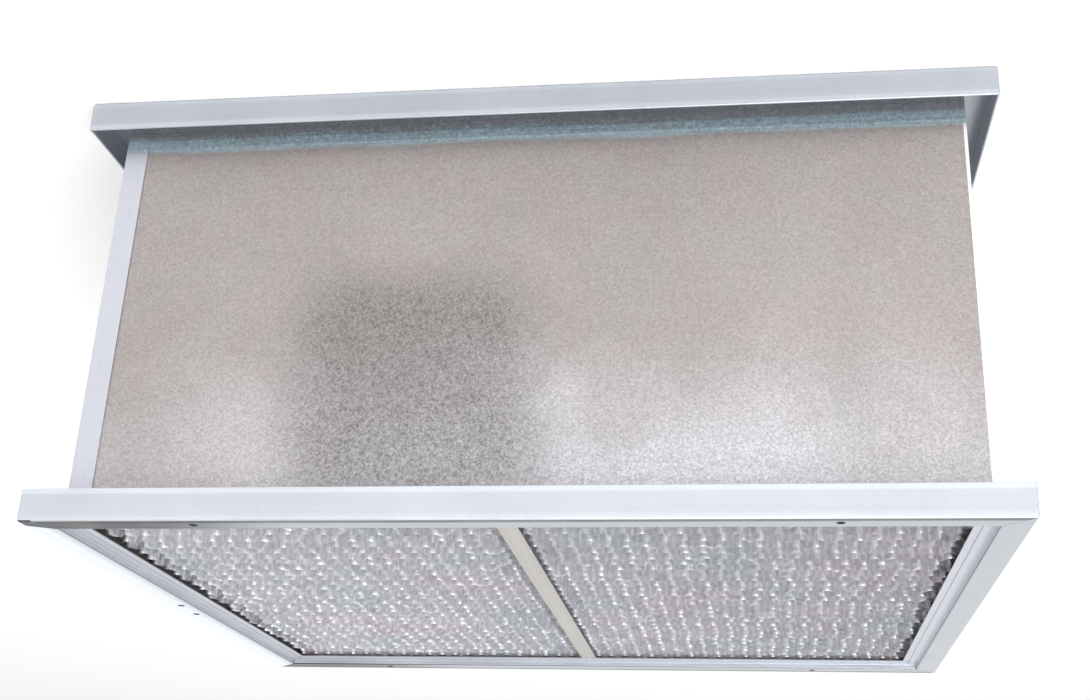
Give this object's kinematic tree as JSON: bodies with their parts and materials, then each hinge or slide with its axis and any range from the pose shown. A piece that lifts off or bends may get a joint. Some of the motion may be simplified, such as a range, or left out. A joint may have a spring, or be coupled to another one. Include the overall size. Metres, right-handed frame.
{
  "type": "rigid box air filter",
  "caption": "Deep rectangular air filter: pleated paper with corrugated foil separators in a galvanised box, with a hemmed, mitred header frame round each face.",
  "frame": {"origin": "centre of the lower header face, on the plane that the filter stands on", "axes": "+X along the long side, +Y from the front panel to the rear panel, +Z from the lower header face to the upper header face, which is the way the air passes or its opposite"},
  "size_m": [0.5936, 0.4922, 0.2921],
  "materials": {
    "panel_steel": "hot-dip galvanised sheet with a fine spangle, matt",
    "header_steel": "smooth galvanised sheet, satin, cool grey",
    "strap_steel": "galvanised strip, matt",
    "separator_foil": "bright rolled foil, lightly creased",
    "filter_paper": "matt glass-fibre paper",
    "sealant": "cured elastomer, dull",
    "adhesive": "cured adhesive film",
    "rivet_metal": "plain rivet, satin"
  },
  "bodies": {
    "root": {"front_adhesive": "adhesive", "front_panel": "panel_steel", "left_end_sealant": "sealant", "left_panel": "panel_steel", "lower_centre_strap": "strap_steel", "lower_header_front": "header_steel", "lower_header_left": "header_steel", "lower_header_rear": "header_steel", "lower_header_right": "header_steel", "lower_separators_1": "separator_foil", "lower_separators_2": "separator_foil", "lower_separators_3": "separator_foil", "lower_separators_4": "separator_foil", "lower_separators_5": "separator_foil", "lower_strap_rivets": "rivet_metal", "pleated_media": "filter_paper", "rear_adhesive": "adhesive", "rear_panel": "panel_steel", "right_end_sealant": "sealant", "right_panel": "panel_steel", "upper_centre_strap": "strap_steel", "upper_header_front": "header_steel", "upper_header_left": "header_steel", "upper_header_rear": "header_steel", "upper_header_right": "header_steel", "upper_separators_1": "separator_foil", "upper_separators_2": "separator_foil", "upper_separators_3": "separator_foil", "upper_separators_4": "separator_foil", "upper_separators_5": "separator_foil", "upper_strap_rivets": "rivet_metal"}
  },
  "joints": []
}
